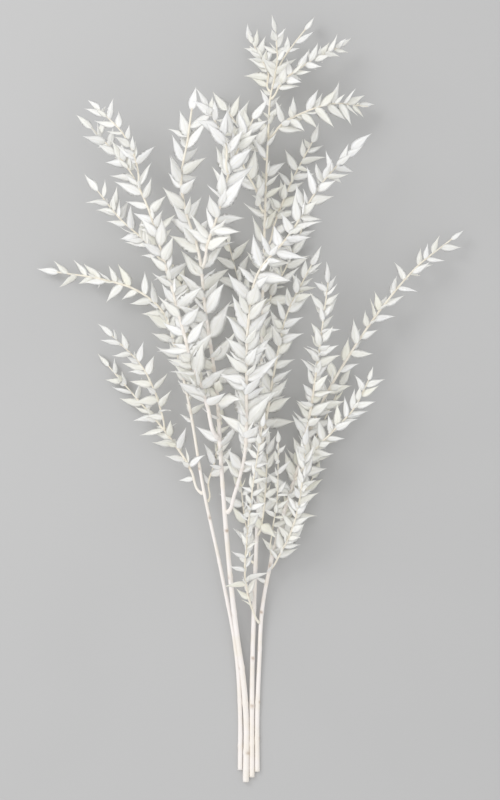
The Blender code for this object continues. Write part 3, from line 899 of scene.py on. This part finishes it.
def leaves_piece(axis, route, settled_leaves, index):
    """All the leaves of an axis as one piece.

    cream = by chance * draw**2 + by depth * depth * breadth. The depth term is a painted shade: broad leaves
    that lie low in the bunch, under the others, are creamiest.
    """
    growth, turn, shrink, found = settled_leaves
    keep = np.flatnonzero(found)
    rng = np.random.default_rng(LEAF_SEED + index)
    traits = dict(zip(TRAITS, rng.uniform(0, 1, (len(found), len(TRAITS)))[keep].T))
    directions = [direction[keep] for direction in leaf_directions(growth, turn)]
    root, _ = at_share(route, growth["share"][keep])
    length = (growth["length"] * shrink)[keep]
    sickle, bend = growth["sickle"][keep], growth["bend"][keep]
    vertices, faces = leaf_skin(root, length, directions, sickle, bend, traits)
    # Painted shade: the lower a leaf lies in the bunch, the more cream it gets, standing in for the shade of
    # the leaves above it.
    shade_depth = 1 - np.clip(root[:, 2] / SHADED_BELOW, 0, 1)
    cream = CREAM_BY_CHANCE * traits["cream"] ** 2 + PAINTED_SHADE_BY_DEPTH * shade_depth * traits["breadth"]
    cream = np.clip(cream, 0, 1)[:, None]
    shape = (len(keep), len(STATIONS), len(LOOP_ACROSS))
    return make_piece(
        axis.name + "_leaves", vertices, faces, leaf_finish,
        across=with_poles(LOOP_ACROSS, shape, 0, 0),
        along=with_poles(STATIONS[:, None], shape, 0, 1) + PATTERN_SHIFT * np.arange(len(keep))[:, None],
        tint=with_poles(cream[:, :, None], shape, cream, cream))


for index, axis in enumerate(AXES):
    route = routes[axis.name][1]
    growth, _, _, found = settled[axis.name]
    stem = stem_piece(axis, route, growth["share"][found], index)
    leaves = leaves_piece(axis, route, settled[axis.name], index)
    for piece, slot in ((stem, "bleached_wood"), (leaves, "bleached_leaf")):
        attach(piece, "root")
        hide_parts(axis.name)
    print(axis.name, len(stem.data.polygons), "stem faces,", len(leaves.data.polygons), "leaf faces")

# %% [markdown]
# ## The surface, the light and the camera
# The bunch lies on a plain grey floor that is only there for the picture, wide enough to fill a low view.
# One wide light at the upper left throws soft shadows to the lower right. A wider, weaker one and an even
# white surrounding fill them, and a gamma above one lifts the middle tones. The bunch lies down, so the
# camera looks straight down on it.

# %% Floor
FLOOR_HALF = 25.0
FLOOR_GREY = (0.42, 0.42, 0.42)
FLOOR_PATCH = (0.385, 0.385, 0.385)


def make_floor():
    """A square about the origin, in plain grey with broad faint patches."""
    material, tree, shader = start_material("pale_floor")
    mottle = place_group(tree, DRY_MOTTLE, Patch_scale=3.0, Speck_scale=40.0)
    colour = lay_over(tree, FLOOR_GREY, FLOOR_PATCH, mottle.outputs["Patches"], amount=0.3)
    tree.links.new(colour, shader.inputs["Base Color"])
    shader.inputs["Roughness"].default_value = 0.9
    corners = [(-1, -1, 0), (1, -1, 0), (1, 1, 0), (-1, 1, 0)]
    mesh = bpy.data.meshes.new("floor")
    mesh.from_pydata((FLOOR_HALF * np.array(corners)).tolist(), [], [(0, 1, 2, 3)])
    mesh.materials.append(material)
    floor = bpy.data.objects.new("floor", mesh)
    bpy.context.scene.collection.objects.link(floor)
    floor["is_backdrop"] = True


make_floor()
print("floor:", 2 * FLOOR_HALF, "m across")

# %% Lights
SKY_WHITE = (1.0, 1.0, 1.0, 1.0)
SKY_STRENGTH = 0.88
VIEW_GAMMA = 1.25


def add_area(name, place, size, energy):
    """A square light at a place, aimed at the middle of the bunch."""
    lamp = bpy.data.lights.new(name, "AREA")
    lamp.size = size
    lamp.energy = energy
    light = bpy.data.objects.new(name, lamp)
    light.location = place
    x, y, z = place
    light.rotation_euler = (math.atan2(math.hypot(x, y), z), 0, math.atan2(y, x) + math.pi / 2)
    bpy.context.scene.collection.objects.link(light)


add_area("key_light", place=(-1.4, 1.1, 1.6), size=1.0, energy=17)
add_area("fill_light", place=(-1.3, -0.9, 1.8), size=2.2, energy=6)
world = bpy.data.worlds.new("studio")
world.use_nodes = True
world.node_tree.nodes["Background"].inputs["Color"].default_value = SKY_WHITE
world.node_tree.nodes["Background"].inputs["Strength"].default_value = SKY_STRENGTH
bpy.context.scene.world = world
bpy.context.scene.view_settings.view_transform = "Standard"
bpy.context.scene.view_settings.gamma = VIEW_GAMMA
print("lights:", [lamp.name for lamp in bpy.data.lights])

# %% Camera
VIEW_HEIGHT = 1.01
CAMERA_HEIGHT = 2.6
SENSOR = 36.0
camera = bpy.data.objects.new("camera", bpy.data.cameras.new("camera"))
camera.data.sensor_fit = "VERTICAL"
camera.data.sensor_height = SENSOR
camera.data.lens = SENSOR * CAMERA_HEIGHT / VIEW_HEIGHT
camera.location = (0.0, 0.0, CAMERA_HEIGHT)
bpy.context.scene.collection.objects.link(camera)
bpy.context.scene.camera = camera
print("camera looks straight down from", CAMERA_HEIGHT, "m")

# %% [markdown]
# ## The size
# The dressed bunch should fill the same box as its solids. Its size is printed.

# %% Size
lowest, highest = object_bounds()
print("dressed size:", [round(float(side) / MM, 1) for side in np.subtract(highest, lowest)], "mm")
